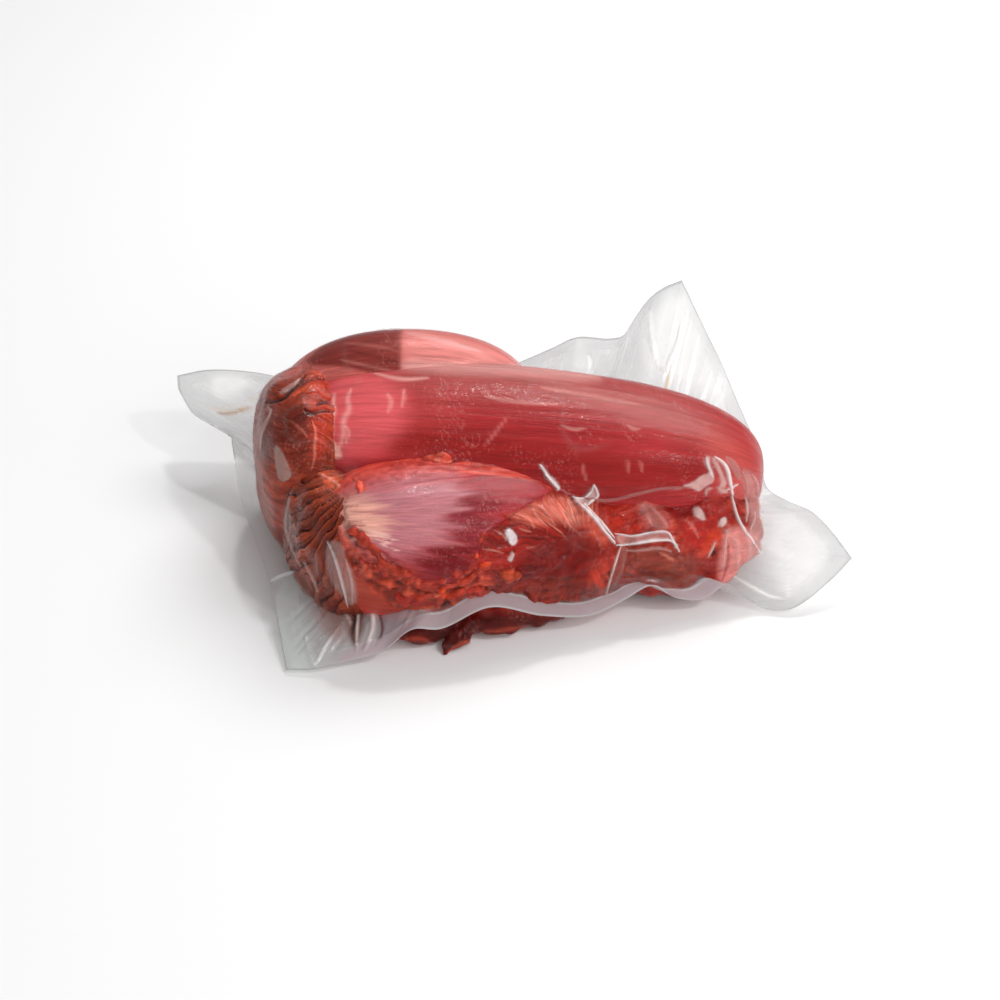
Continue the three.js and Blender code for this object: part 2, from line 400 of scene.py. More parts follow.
def raw_beef():
    """Raw lean beef, cut and wet: fibre bundles 1 to 3 mm across run with the muscle, a little
    lighter or darker each, with short pale crinkles of skin on them, and juice gives it a soft
    gloss."""
    material, tree = new_material("raw lean beef")
    grain = attribute(tree, "grain", "Fac")
    fibre = attribute(tree, "fibre", "Vector")
    place = object_place(tree)
    bundles = noise(tree, fibre, BUNDLE_SIZE, 3.0, 0.6, 0.4)
    threads = noise(tree, fibre, THREAD_SIZE, 2.0)
    bundle_shade = ramp(tree, bundles, [(0.3, 0.5), (0.5, 1.0), (0.72, 1.45)])
    thread_shade = ramp(tree, threads, [(0.3, 0.7), (0.7, 1.3)])
    colour = mixed(tree, "MULTIPLY", grain, attribute(tree, "tint", "Color"), bundle_shade)
    colour = mixed(tree, "MULTIPLY", grain, colour, thread_shade)
    drawn_out = add_node(
        tree, "ShaderNodeVectorMath", {0: place, 1: (1, 0.2, 1)}, operation="MULTIPLY"
    ).outputs["Vector"]
    crinkles = noise(tree, drawn_out, CRINKLE_SIZE, 2.0, 0.5, 0.6)
    crinkles = ramp(tree, crinkles, [(0.54, 0.0), (0.76, 0.4)])
    patches = ramp(tree, noise(tree, place, CRINKLE_PATCH_SIZE, 2.0), [(0.44, 0.0), (0.64, 1.0)])
    skin = combined(tree, "MULTIPLY", crinkles, patches)
    colour = mixed(tree, "MIX", skin, colour, SKIN_HUE)
    relief = combined(tree, "MULTIPLY", combined(tree, "ADD", bundles, threads), grain)
    beef = shader(
        tree, "ShaderNodeBsdfPrincipled", Base_Color=colour, Normal=bumped(tree, relief, 0.6, 0.0009),
        Roughness=0.42, IOR=1.38, Specular_IOR_Level=0.25,
    )
    add_node(tree, "ShaderNodeOutputMaterial", {"Surface": beef})
    return material


def clear_film(name, puckering, see_through):
    """Clear multilayer barrier film, shrunk tight: all gloss where it lies flat, and white where it
    is creased, folded or welded, and where highlights are painted onto it. see_through is how much
    light its white lets pass."""
    material, tree = new_material(name)
    hue = attribute(tree, "milk_and_glare_tint", "Color")
    place = object_place(tree)
    pucker = noise(tree, place, PUCKER_SIZE, 3.0, 0.55, 0.8)
    ripple = noise(tree, place, RIPPLE_SIZE, 2.0, 0.5, 1.0)
    height = combined(tree, "ADD", pucker, combined(tree, "MULTIPLY", ripple, pucker))
    bump = bumped(tree, height, puckering, 0.001)
    clear = shader(tree, "ShaderNodeBsdfTransparent", Color=(0.985, 0.985, 0.985, 1))
    gloss = shader(
        tree, "ShaderNodeBsdfGlossy", Normal=bump, Roughness=0.15, Color=(1, 1, 1, 1)
    )
    sheen = combined(
        tree, "MINIMUM", shader(tree, "ShaderNodeFresnel", Normal=bump, IOR=1.16), GLOSS_LIMIT
    )
    shiny = mixed_shader(tree, sheen, clear, gloss)
    # The white of creased and welded film, which also shows the highlights painted onto the film
    milky = shader(
        tree, "ShaderNodeBsdfPrincipled", Base_Color=hue, Normal=bump, Roughness=0.22, IOR=1.5
    )
    let_through = shader(tree, "ShaderNodeBsdfTranslucent", Color=hue, Normal=bump)
    milky = mixed_shader(tree, see_through, milky, let_through)
    film = mixed_shader(tree, attribute(tree, "milk_and_glare", "Fac"), shiny, milky)
    add_node(tree, "ShaderNodeOutputMaterial", {"Surface": film})
    return material


# The muscles

RAGGED_CENTRE = (588, 550)
RAGGED_REACH = 26  # mm: one turn of its fibres, measured as an arc of this radius
MEMBRANE_CENTRE = (215, 520)
MEMBRANE_REACH = 150
LOWER_CENTRE = (372, 470)  # where the folds of the lower cut end run in
LOWER_FOLD_TURN = 0.12  # radians from fold to fold
# The hollow of torn fibres right of the membrane, the crumbled fringe under the membrane, the
# crease over it, and the membrane itself
RAGGED, FRINGE, CREASE, MEMBRANE = read_marks("""
area 8f1d15 1 3 0 476,562 480,545 484,536 499,524 521,509 543,496 557,487 580,494 604,520 596,606
    440,612 447,592 466,580
area 98301c 0.85 4 0 336,515 345,512 350,528 374,548 400,567 418,580 440,587 455,582 469,568 480,572
    500,582 500,600 470,612 430,620 400,610 372,590 352,570 340,545
area c83c2b 0.7 5 0 328,470 345,462 386,452 440,452 500,466 560,488 545,486 490,474 440,474 372,486
    352,500 338,496
area 9c2e34 1 1.6 0.9 343,503 352,497 367,493 384,489 402,486 418,484 439,480 458,479 491,475 535,480
    557,487 543,496 521,509 499,524 483,536 478,555 469,566 455,580 440,585 418,578 400,565 374,546
    356,537 349,524
""")
# Torn fibres that stand out, raised a little and painted pale as highlights
FEATHER_HIGHLIGHTS = read_marks("""
line e89c88 0.45 1.8 0.4 532,508 540,519 547,527 / 540,504 549,516 556,526 / 550,503 558,514 566,528 /
    558,506 566,518 573,532 / 566,522 574,529 582,537 / 547,522 558,530 568,541 / 522,510 530,520
    535,530 / 484,549 494,550 504,553 / 495,528 501,533 506,540 / 519,528 526,531 532,532 / 524,547
    530,547 536,546 / 590,528 598,538 602,552 / 521,578 545,576 585,580 / 570,542 580,548 592,552
""")

# Muscles are blunt ellipsoids, in millimetres and degrees. blunt and girth are the exponents of
# their outlines along and across, taper is how much thicker one end is than the middle, and facets
# is their number round and along
SMALL_FACETS = (64, 32)
MUSCLES = {
    "long_muscle": dict(
        half=(110.5, 42, 43.5), centre=(2, -21, 41), yaw=-21, blunt=2.7, girth=2.15, taper=-0.13,
        facets=(360, 265),
    ),
    "back_muscle": dict(
        half=(60, 32, 40), centre=(-38, 18, 50.5), yaw=-16, blunt=2.3, facets=(230, 140)
    ),
    "upper_cut_end": dict(
        half=(23, 40, 41), centre=(-88, 8, 40), yaw=-8, blunt=2.6, girth=2.3, facets=(400, 240)
    ),
    "front_muscle": dict(
        half=(60, 34, 34), centre=(-38, -57, 34), yaw=-7, pitch=-3, roll=14, blunt=2.6, girth=2.3,
        taper=-0.12, facets=(400, 240),
    ),
    "lower_cut_end": dict(
        half=(18, 31, 31), centre=(-86, -46, 31), yaw=14, blunt=2.5, girth=2.3, facets=(340, 200)
    ),
}
# What is torn in front, in the same form, before it becomes one skin
TORN_PARTS = {
    "ragged": dict(half=(36, 27, 26), centre=(6, -66, 27), blunt=2.4, facets=(96, 60)),
    "trimmings": dict(half=(44, 21, 24), centre=(56, -70, 25), yaw=-4, blunt=2.6, facets=(96, 60)),
    "loose": dict(half=(56, 18, 11), centre=(-14, -70, 8), yaw=4, blunt=2.4, facets=(96, 48)),
    "wedge": dict(half=(32, 6, 6), centre=(-12, -85, 7), yaw=5, roll=-30, blunt=1.7),
    "flap": dict(half=(12, 5, 3), centre=(-43, -89, 7), yaw=30, pitch=32, roll=20, blunt=1.6),
    "fold": dict(half=(10, 5, 3), centre=(-39, -86, 7), yaw=40, pitch=35, roll=-30, blunt=1.6),
    "foot": dict(half=(27, 9, 9), centre=(60, -83, 12), yaw=-3, blunt=2.2, facets=(64, 40)),
    "tongue": dict(half=(8.5, 3, 2.2), centre=(-41, -45.5, 68.5), yaw=-14, roll=25, blunt=1.5),
    "left_scrap": dict(half=(13, 7, 5), centre=(-58, -82, 6), yaw=-8, roll=20, blunt=1.9),
}
# Rows of torn knobs on the front muscle, as their mean half size and places (along, angle)
TORN_ROWS = [
    # under the membrane
    (2.1, [(-0.78, 2.0), (-0.55, 2.58), (-0.24, 2.84), (0.04, 2.67), (0.15, 2.2)]),
    (1.8, [(-0.72, 2.5), (-0.5, 2.72), (-0.24, 2.95), (0.06, 2.85), (0.2, 2.6)]),
    (2.8, [(0.24, 2.76), (0.42, 2.88)]),
    # at the foot
    (3.0, [(-0.5, 3.05), (-0.2, 3.1), (0.15, 3.0)]),
    # along the crease over the membrane
    (1.3, [(-0.74, 1.15), (-0.68, 1.35), (-0.68, 1.55)]),
]


def muscle_place(form):
    """A muscle's own axes in the pack."""
    turn = (
        Matrix.Rotation(form.get("yaw", 0) * DEGREE, 3, "Z")
        @ Matrix.Rotation(-form.get("pitch", 0) * DEGREE, 3, "Y")
        @ Matrix.Rotation(form.get("roll", 0) * DEGREE, 3, "X")
    )
    return np.array(turn), np.array(form["centre"]) + SHIFT


def muscle_skin(form, along, angle):
    """Points of a muscle's skin in its own axes, and the way out there, at shares of its length
    from -1 to 1 and turns round its long axis from its own +Y up over its top."""
    half = np.array(form["half"])
    blunt = form.get("blunt", 2)
    girth = form.get("girth", 2)
    radius = (1 - np.abs(along) ** blunt) ** (1 / blunt)
    swell = radius * (1 + form.get("taper", 0) * along)
    across = power(np.cos(angle), 2 / girth)
    up = power(np.sin(angle), 2 / girth)
    points = np.stack([along, across * swell, up * swell], axis=-1) * half
    out = np.stack([power(along, blunt - 1), radius * across, radius * up], axis=-1) / half
    return points, out / (np.linalg.norm(out, axis=-1, keepdims=True) + 1e-12)


def muscle_sphere(form):
    """A sphere with its poles on a muscle's long axis, rolled up from a grid, and where on the
    muscle its points go."""
    around, lengthwise = form.get("facets", SMALL_FACETS)
    bm = bmesh.new()
    bmesh.ops.create_grid(bm, x_segments=around, y_segments=lengthwise, size=0.5)
    flat = points_of(bm)
    angle = math.tau * (np.round((flat[:, 0] + 0.5) * around) % around) / around
    rise = math.pi * (0.5 - flat[:, 1])
    ring = np.where(np.abs(flat[:, 1]) > 0.4999, 0, np.sin(rise))
    ball = np.stack([ring * np.cos(angle), ring * np.sin(angle), np.cos(rise)], axis=-1)
    move_to(bm, ball)
    bmesh.ops.remove_doubles(bm, verts=bm.verts, dist=1e-6)
    bmesh.ops.recalc_face_normals(bm, faces=bm.faces)
    ball = points_of(bm)
    return bm, np.clip(ball[:, 2], -1, 1), np.arctan2(ball[:, 1], ball[:, 0])


def muscle_mesh(form):
    """A muscle's mesh, and where its vertices lie along it, round it, in its own axes and in the
    pack, with the ways out there."""
    bm, along, angle = muscle_sphere(form)
    local, out = muscle_skin(form, along, angle)
    turn, centre = muscle_place(form)
    return bm, along, angle, local, local @ turn.T + centre, out @ turn.T


def lengthwise_bundles(local, along, angle, depth, count, seed):
    swells = depth * np.sin(count * angle + 1.4 * along + seed) * (1 - along * along)
    x, y, z = local.T
    return swells + 0.8 * depth * wobble(x / 23, y / 17, z / 15, seed)


def fibre_place(form, along, angle):
    """Coordinates in which a bundle is as long as it is wide, without a seam."""
    length, width, height = form["half"]
    radius = (width + height) / 2
    return np.stack(
        [along * length / FIBRE_STRETCH, radius * np.cos(angle), radius * np.sin(angle)], axis=-1
    )


def cut_ridges(local, level, rough, seed):
    """Fibre bundles cut across, in folds that lap like shingles: each rises to a lip painted lighter
    as light, with shade painted dark in the groove under it and a little in the fine grooves. level
    is a height in millimetres that is the same all along a fold, and rough how much of them there is."""
    level = level + 1.6 * lumps(local, 7, seed) + 0.7 * lumps(local, 3, seed + 2)
    strength = rough * (0.75 + 0.6 * lumps(local, 8, seed + 1))
    part = level / RIDGE_SPACING % 1
    fold = smooth_step(part, 0, 0.3) - 0.25 * part
    fine = (level + 0.5 * lumps(local, 3, seed)) / FINE_RIDGE_SPACING % 1
    relief = strength * RIDGE_DEPTH * (fold + 0.25 * smooth_step(fine, 0, 0.4))
    # Painted shade in the groove under each lip and in the fine grooves, and painted light on the lip
    groove = 1 - smooth_step(part, 0.05, 0.26)
    tone = strength * (0.75 * smooth_step(part, 0.3, 0.85) - 0.95 * groove - 0.25 * (fine < 0.3))
    return relief, tone


def fan(pixels, centre):
    """How far pixels lie from a centre, and which way."""
    away = pixels - np.array(centre)
    return np.linalg.norm(away, axis=1), np.arctan2(away[:, 1], away[:, 0])


def fan_fibres(pixels, centre, radius):
    """Coordinates of fibres that run in to a centre."""
    reach, bearing = fan(pixels, centre)
    return np.stack([reach * 0.05, radius * np.cos(bearing), radius * np.sin(bearing)], axis=-1)


def upper_ridges(local, pixels):
    x, y = pixels.T
    sag = 5 * np.sin((x - 300) / 9)
    level = PIXEL * (y + sag - 0.12 * (x - 318)) + 1.5 * lumps(local, 14, 1)
    rough = 0.18 + 0.82 * (1 - smooth_step(y, 412, 424)) * smooth_step(x, 284, 312)
    return level, PIXEL * x / 6, rough


def lower_ridges(local, pixels):
    reach, bearing = fan(pixels, LOWER_CENTRE)
    level = RIDGE_SPACING * bearing / LOWER_FOLD_TURN + 3.0 * lumps(local, 12, 5)
    return level, PIXEL * reach / 6, 0.5 + 0.5 * smooth_step(reach, 8, 22)


def strands(points, pixels):
    """Torn fibres that run in to the hollow right of the membrane, and how far they reach."""
    strays = 8 * lumps(points, 11, 36) + 3 * lumps(points, 4, 37)
    fibre = fan_fibres(pixels + strays[:, None] * np.array([0.4, 1]), RAGGED_CENTRE, RAGGED_REACH)
    near = smooth_step(fibre[:, 0], 1.0, 2.4) * (1 - smooth_step(fibre[:, 0], 4.5, 6.2))
    return fibre, near * (lumps(fibre, 1.7, 31) + 0.6 * lumps(fibre, 0.8, 32))


def tinted(base, tone, low, high):
    """A base colour, darker where tone is below 0 and lighter where it is above."""
    dark = np.clip(-tone, 0, 1)[:, None]
    light = np.clip(tone, 0, 1)[:, None]
    return (1 - dark - light) * base + dark * linear(low) + light * linear(high)


def marked(points, normals, colours, marks, stray=0):
    """Colours and relief with the marks on them. stray moves the marks, in pixels."""
    pixels = in_photo(points) + stray
    seen = facing(normals)
    lift = np.zeros(len(points))
    for mark in marks:
        share = mark_share(mark, pixels) * seen
        lift += mark.lift * share
        colours = blended(colours, mark.hue, mark.amount * share)
    return colours, lift


def dressed(points, normals, relief, tone, hues, marks, stray=0):
    """A muscle's points raised by its relief and marks, and its colours."""
    base, low, high = hues
    colours = tinted(linear(base), tone, low, high)
    colours, lift = marked(points, normals, colours, marks, stray)
    return points + normals * (relief + lift)[:, None], colours


def finished_muscle(name, bm, points, colours, fibre, grain, beef):
    """Sets a muscle on the table and writes it with its attributes."""
    set_down(bm, points, FILM_GAP)
    piece = new_piece(name, bm, beef, "meat")
    add_tint(piece, "tint", np.clip(colours, 0, 1))
    add_attribute(piece, "fibre", "FLOAT_VECTOR", fibre)
    add_attribute(piece, "grain", "FLOAT", grain)


def smooth_skin(name, depth, bundles, seed):
    """A muscle's thin skin, smooth but for its long bundles: its mesh, points, the ways out there,
    fibre coordinates, relief and tone."""
    form = MUSCLES[name]
    bm, along, angle, local, points, normals = muscle_mesh(form)
    fibre = fibre_place(form, along, angle)
    relief = lengthwise_bundles(local, along, angle, depth, bundles, seed)
    relief += 0.2 * lumps(fibre, 3.5, seed) + 0.1 * lumps(fibre, 1.6, seed + 1)
    tone = 0.16 * lumps(fibre, 7, seed + 2) + 0.2 * lumps(local, 24, seed + 3)
    tone += 0.1 * lumps(local, 5, seed + 4)
    return bm, points, normals, fibre, relief, tone


def smooth_muscle(name, beef, hues, marks, bundles, seed, grain):
    """A whole muscle that has nothing torn."""
    bm, points, normals, fibre, relief, tone = smooth_skin(name, 1.0, bundles, seed)
    points, colours = dressed(points, normals, relief, tone, hues, marks)
    finished_muscle(name, bm, points, colours, fibre, np.full(len(points), grain), beef)


def front_muscle(beef, hues, marks, seed):
    """The front muscle: a silver membrane is drawn over it, with strands that fan out, and right of
    that its fibres are torn. It is crumbled along the crease over the membrane and the fringe under
    it."""
    bm, points, normals, fibre, relief, tone = smooth_skin("front_muscle", 0.7, 4, seed)
    pixels = in_photo(points)
    seen = facing(normals)
    torn = mark_share(RAGGED, pixels) * seen
    silver = mark_share(MEMBRANE._replace(soft=1), pixels) * seen
    fringe = mark_share(FRINGE, pixels) * seen
    crease = mark_share(CREASE, pixels) * seen
    torn_fibre, feathers = strands(points, pixels)
    drawn_fibre = fan_fibres(pixels, MEMBRANE_CENTRE, MEMBRANE_REACH)
    fibre = np.where(torn[:, None] > 0.5, torn_fibre, fibre)
    fibre = np.where(silver[:, None] > 0.5, drawn_fibre, fibre)
    crumble = lumps(points, 4, seed + 9) + 0.7 * lumps(points, 1.9, seed + 10)
    relief += torn * (0.9 * feathers + 0.5 * lumps(points, 3, seed + 7))
    relief += (1.3 * fringe + 0.45 * crease) * crumble
    # The torn strands are painted lighter where they stand out and darker between them, as light and
    # shade, with random tone besides
    ragged = 0.6 * feathers + 0.3 * lumps(points, 5, seed + 8) + 0.4 * lumps(points, 10, seed)
    tone += torn * ragged
    stray = np.zeros((len(points), 2))
    stray[:, 0] = mark_share(MEMBRANE._replace(soft=14), pixels)
    stray[:, 0] *= 20 * lumps(fibre, 4.5, 38) + 14 * lumps(fibre, 1.3, 39)
    points, colours = dressed(points, normals, relief, tone, hues, marks, stray)
    # The crumbled fringe and crease are painted darker in their pits and lighter on their crumbs, as
    # shade and light
    colours = tinted(colours, (0.75 * fringe + 0.35 * crease) * crumble, *CRUMB_HUES)
    grain = 0.35 + (0.65 * torn + 0.05 * silver)
    finished_muscle("front_muscle", bm, points, colours, fibre, grain, beef)


def cut_end(name, beef, hues, marks, ridges, seed):
    """A muscle's cut end, all ridges and folds."""
    bm, _, _, local, points, normals = muscle_mesh(MUSCLES[name])
    level, run, rough = ridges(local, in_photo(points))
    relief, tone = cut_ridges(local, level, rough, seed)
    relief += 0.7 * lumps(local, 8, seed + 5)
    tone += 0.3 * lumps(local, 14, seed + 6) + 0.15 * lumps(local, 4, seed + 7)
    points, colours = dressed(points, normals, relief, tone, hues, marks)
    fibre = np.stack([run, level, points @ BACK / 3], axis=-1)
    finished_muscle(name, bm, points, colours, fibre, np.full(len(points), 0.75), beef)


# The long muscle: a lighter band along its top and a lighter right end, both painted light; a dark
# band low on its front above the crease, painted shade; its pale and bright reaches; and streaks of
# skin on it
LONG_MARKS = read_marks("""
area a8504b 0.75 22 0 380,372 440,352 520,362 600,376 680,400 735,440 712,446 640,418 560,402 470,390
    400,384
area dc5c60 0.9 18 0 325,372 360,362 395,378 410,410 395,446 330,470
area 8c1816 0.75 14 0 392,452 470,464 540,484 600,508 650,500 712,480 706,452 640,458 560,452 500,432
    440,424 400,436
area c0544e 0.7 16 0 700,425 745,440 770,500 765,560 735,585 722,500
area e9aaa4 0.6 6 0 380,366 440,374 520,378 600,384 600,374 520,368 440,362
line f2b8ae 0.7 3.5 0.3 335,392 333,402 335,412 331,424 333,434 328,446
line f4b0a8 0.55 5 0 352,388 347,398 350,410 343,420 344,436 339,450
line f4b0a8 0.5 3 0 345,425 350,432 346,444
area f4b8a8 0.8 2.5 0 328,458 330,442 334,440 344,456 338,459
line ee9a92 0.6 4 0 386,392 392,400 388,412
line ee9a92 0.55 3.5 0 403,386 404,398 400,408
line f0b0a8 0.6 3.5 0 372,372 400,380 430,378
line c86a66 0.7 3.2 0 485,446 495,432 508,415
line dc9a90 0.5 3 0 562,425 574,430 586,428 / 626,424 634,430 640,428
line dd958c 0.5 3 0 484,396 520,402 560,404
line dd958c 0.4 4 0 540,388 590,396 640,404
line c8706a 0.6 3 0 582,462 584,474 587,482 / 627,458 628,466 627,474 / 640,460 641,466 641,472
""")
# The back muscle: a dark wedge, with pale sinew right of it
BACK_MARKS = read_marks("""
area 7a2822 0.9 2.5 0 300,366 325,345 355,322 401,318 402,345 401,378 375,374 345,366
area e08680 0.8 8 0 402,331 440,335 520,356 600,376 560,384 480,378 404,372
area f0b4ae 0.6 6 0 402,360 440,362 520,368 600,378 560,386 480,380 404,374
line f0b4ae 0.4 4 0 405,336 440,342 480,352
line b5625a 0.5 3 0 345,345 370,347 399,352
line c0756c 0.5 3 0 340,360 370,366 399,372
line 5d1a18 0.5 3 0 350,352 375,357 399,362
""")
# The front muscle: its torn edges, with a dark hollow in them that is painted shade and pale torn
# strands painted as highlights; then the membrane with its cream, mauve and dark parts; and a dark
# line under a flap of tissue that is painted shadow
FRONT_MARKS = [
    *read_marks("""
area a03a28 0.85 5 0 340,535 400,580 450,590 478,575 500,600 480,625 400,616 330,600
"""),
    FRINGE,
    CREASE,
    *read_marks("""
area c9382a 0.8 6 0 330,470 400,455 439,460 500,474 440,478 400,482 350,492
area c4444a 0.7 3 0 368,482 402,476 460,473 520,478 450,480 400,486 368,492
"""),
    RAGGED,
    *read_marks("""
area dc7460 0.6 7 0 515,518 530,503 548,494 575,496 592,514 560,522 530,526
"""),
    *FEATHER_HIGHLIGHTS,
    *read_marks("""
area 6a0c08 0.85 14 0 516,560 540,538 590,538 600,580 560,588 516,585
area 8a3424 0.7 7 0 440,592 470,580 500,582 530,592 596,606 440,612
"""),
    MEMBRANE,
    *read_marks("""
area ba747b 0.95 20 0 335,500 384,478 450,472 458,490 455,522 430,552 385,560 345,535
area f0b09c 0.85 12 0 336,503 362,496 382,508 382,526 370,540 346,536
area 7c1c26 0.85 13 0 455,498 490,498 492,528 470,548 448,534
area 6c0a12 0.95 12 0 405,568 440,588 456,582 474,562 472,538 435,552
line f0bcb0 0.75 5 0 359,531 370,533 384,538 400,550
line 9c2626 0.8 3.5 0 361,540 377,548 394,555 410,566
line b8706c 0.5 3 0 356,512 380,513 412,514
line c08078 0.4 3 0 352,524 380,522 412,528 450,548
line c25c60 0.5 4 0 375,494 420,487 480,478
line e4746a 0.7 3.5 0 439,466 460,469 500,476 540,482
line e0604e 0.7 5 0 350,480 362,484 366,492
line 5a0f0a 0.8 4 -0.6 430,457 446,460 464,461
"""),
]
# The cut ends: lighter folds and lips, painted light; a darker brown reach low on the upper end,
# painted shade; and dark clefts between the folds, painted shade
UPPER_MARKS = read_marks("""
area b22c12 0.75 7 0 310,374 333,380 331,423 324,452 316,462 308,430 306,400
area 5a1a10 0.75 8 0 281,403 312,404 312,430 306,470 290,470 280,440
area 7a3a33 0.75 6 0 258,420 262,400 277,405 277,452 265,460
area a5432f 0.7 4 0 281,376 295,366 318,362 329,374 302,384 291,384
area bd6864 0.8 5 0 270,385 295,363 327,352 350,352 340,368 322,371 300,368 282,380
line dcb4ae 0.7 3.5 0 278,374 296,361 327,351
line 1e0705 1 4 -1.8 305,378 298,385 289,392 281,399 266,403
line 5c130d 0.8 3 -1 301,387 310,382 322,379 330,383
line 3c0b08 0.95 3.4 -1.6 316,405 325,401 334,407 / 304,410 311,415 318,411 329,413
line a8503f 0.6 3 0.4 289,420 298,428 308,438
line 5a1a12 0.6 3 -0.5 284,426 296,426 304,420
line d07a6a 0.7 2.8 0.4 312,421 316,432 314,447 315,457 311,471
""")
LOWER_MARKS = read_marks("""
area d85a38 0.85 4 0 318,474 345,482 355,500 340,496 326,488
line f0a08c 0.6 2.8 0.4 320,478 336,486 346,498
line 4a0d09 0.9 3.5 -0.8 277,484 290,480 304,478
line c07060 0.6 3.5 0.4 276,486 286,500 284,520
line a8604f 0.5 3 0.4 298,486 292,505 300,530
""")


def whole_muscles(beef):
    """Each with its hue, and those of its darker and its lighter fibres. On the cut ends the darker
    hue is painted shade in the grooves and the lighter one painted light on the lips of the folds.
    """
    long_hues = "a6282b", "7e1819", "c8534f"
    back_hues = "c05a54", "93332e", "dd9086"
    front_hues = "c63a30", "981d18", "d65c50"
    upper_hues = "8a3220", "3a0f09", "d2522f"
    lower_hues = "762a18", "3a0f09", "b04a2c"
    smooth_muscle("long_muscle", beef, long_hues, LONG_MARKS, bundles=5, seed=1, grain=0.35)
    smooth_muscle("back_muscle", beef, back_hues, BACK_MARKS, bundles=4, seed=2, grain=0.45)
    front_muscle(beef, front_hues, FRONT_MARKS, seed=3)
    cut_end("upper_cut_end", beef, upper_hues, UPPER_MARKS, upper_ridges, seed=1)
    cut_end("lower_cut_end", beef, lower_hues, LOWER_MARKS, lower_ridges, seed=4)


# Torn meat

TORN_MARKS = [
    *FEATHER_HIGHLIGHTS,
    # round the hollow right of the membrane, with its dark middle painted shade
    *read_marks("""
area 700f0a 0.88 16 0 500,545 545,520 600,538 606,592 520,592
area e8907c 0.65 7 0 530,512 545,495 575,492 598,512 585,525 560,521 540,526
area 9a2a1c 0.6 6 0 482,540 500,526 530,528 528,560 500,568 484,556
area c03a26 0.65 7 0 588,572 612,554 604,602 588,600
area 74261a 0.6 5 0 516,581 560,578 600,580 600,608 505,608
line a03420 0.8 13 0 347,520 352,536 375,556 406,584 430,595 455,595 476,572 484,552
"""),
    # the trimmings: lobes, hollows darkened as painted shade, skin on them, and pale streaks
    # and a pale right end painted as film highlights
    *read_marks("""
area c2513f 0.7 5 0 572,500 588,506 614,540 600,545 580,520
area a82618 0.85 4 0.8 598,505 636,500 641,520 644,532 616,532 604,520
area b04a42 0.85 4 0 636,500 660,502 676,520 668,531 647,531 636,514
area 7c0c0c 0.9 6 -1.5 659,494 688,486 700,492 696,510 684,522 668,514
area a82019 0.8 5 0.6 681,519 709,515 723,528 711,547 695,552 681,538
area 96201c 0.7 5 0 700,500 722,500 728,520 712,522 700,515
area c23820 0.8 4 0.6 712,526 727,528 716,549 700,561 697,552
line 2e0806 0.95 3.5 -1 714,546 714,551 713,557
area 843022 0.85 4 0.8 620,547 650,544 675,551 694,554 697,574 681,582 658,566 639,566 618,582 608,597
    612,570
area 7e3426 0.7 6 0 640,560 668,560 694,575 690,590 640,580
area d4827c 0.85 5 0 724,524 770,535 765,600 722,600 718,570 723,545
line d88f88 0.7 3.5 0.4 735,534 741,550 736,575
line da9690 0.7 3.5 0.4 747,536 752,552 746,574
line 8e2a26 0.7 3 -0.4 728,540 729,560 722,582
line d88880 0.6 3 0 652,508 662,518 668,528 / 642,504 648,514 652,526
line d07a70 0.6 2.6 0 686,520 694,528 698,538
line e08870 0.6 2.6 0 660,552 668,556 674,560
"""),
    # loose meat below the weld, darkened as painted shade, with knobs, and a dark line
    # painted as shadow under a flap of tissue
    *read_marks("""
area 3e0906 0.9 8 0 396,620 500,612 600,618 640,610 640,640 400,665
line a8432f 0.8 4 0 448,652 458,645 470,642 480,638
line a03a28 0.7 5 0 404,640 418,638 430,642
line 9a3a2a 0.7 4 0 482,632 506,630 530,626
line 38080a 0.9 3.5 0 476,620 468,630 462,640
area c8401f 0.85 3 0.8 472,556 480,551 489,556 491,566 478,567
area c04524 0.85 3 0.8 500,576 506,569 516,571 522,578 508,583
area d8451f 0.8 3 0.6 436,592 446,588 452,594 446,600
area dc4a2c 0.9 2 0 428,446 440,444 468,456 466,460 436,455
line 5a0f0a 0.9 3 -0.6 430,456 446,459 462,460
"""),
    # torn tissue in the crease over the membrane
    *read_marks("""
area dd5542 0.85 4 0 335,462 366,455 372,490 350,500
area cc4733 0.85 5 0 380,440 470,446 560,480 540,492 460,472 380,470
"""),
]


def knob_row(bm, size, places, rng):
    """Torn knobs along a row on the front muscle's skin."""
    form = MUSCLES["front_muscle"]
    turn, centre = muscle_place(form)
    share = np.linspace(0, 1, 64)
    knots = np.linspace(0, 1, len(places))
    along = np.interp(share, knots, [place[0] for place in places])
    angle = np.interp(share, knots, [place[1] for place in places])
    seats = muscle_skin(form, along, angle)[0] @ turn.T + centre
    run = run_along(seats)
    count = round(run[-1] / (KNOB_SPACING * size))
    for i in range(count):
        at = run[-1] * (i + rng.uniform(0.2, 0.8)) / count
        seat = Vector([np.interp(at, run, seats[:, k]) for k in range(3)])
        swell = size * rng.uniform(0.45, 1.25, 3) * (1.6, 1, 0.8)
        spin = Matrix.Rotation(rng.uniform(0, math.tau), 4, rng.normal(size=3))
        place = Matrix.Translation(seat) @ spin @ Matrix.Diagonal((*swell, 1))
        bmesh.ops.create_icosphere(bm, subdivisions=3, radius=1, matrix=place)


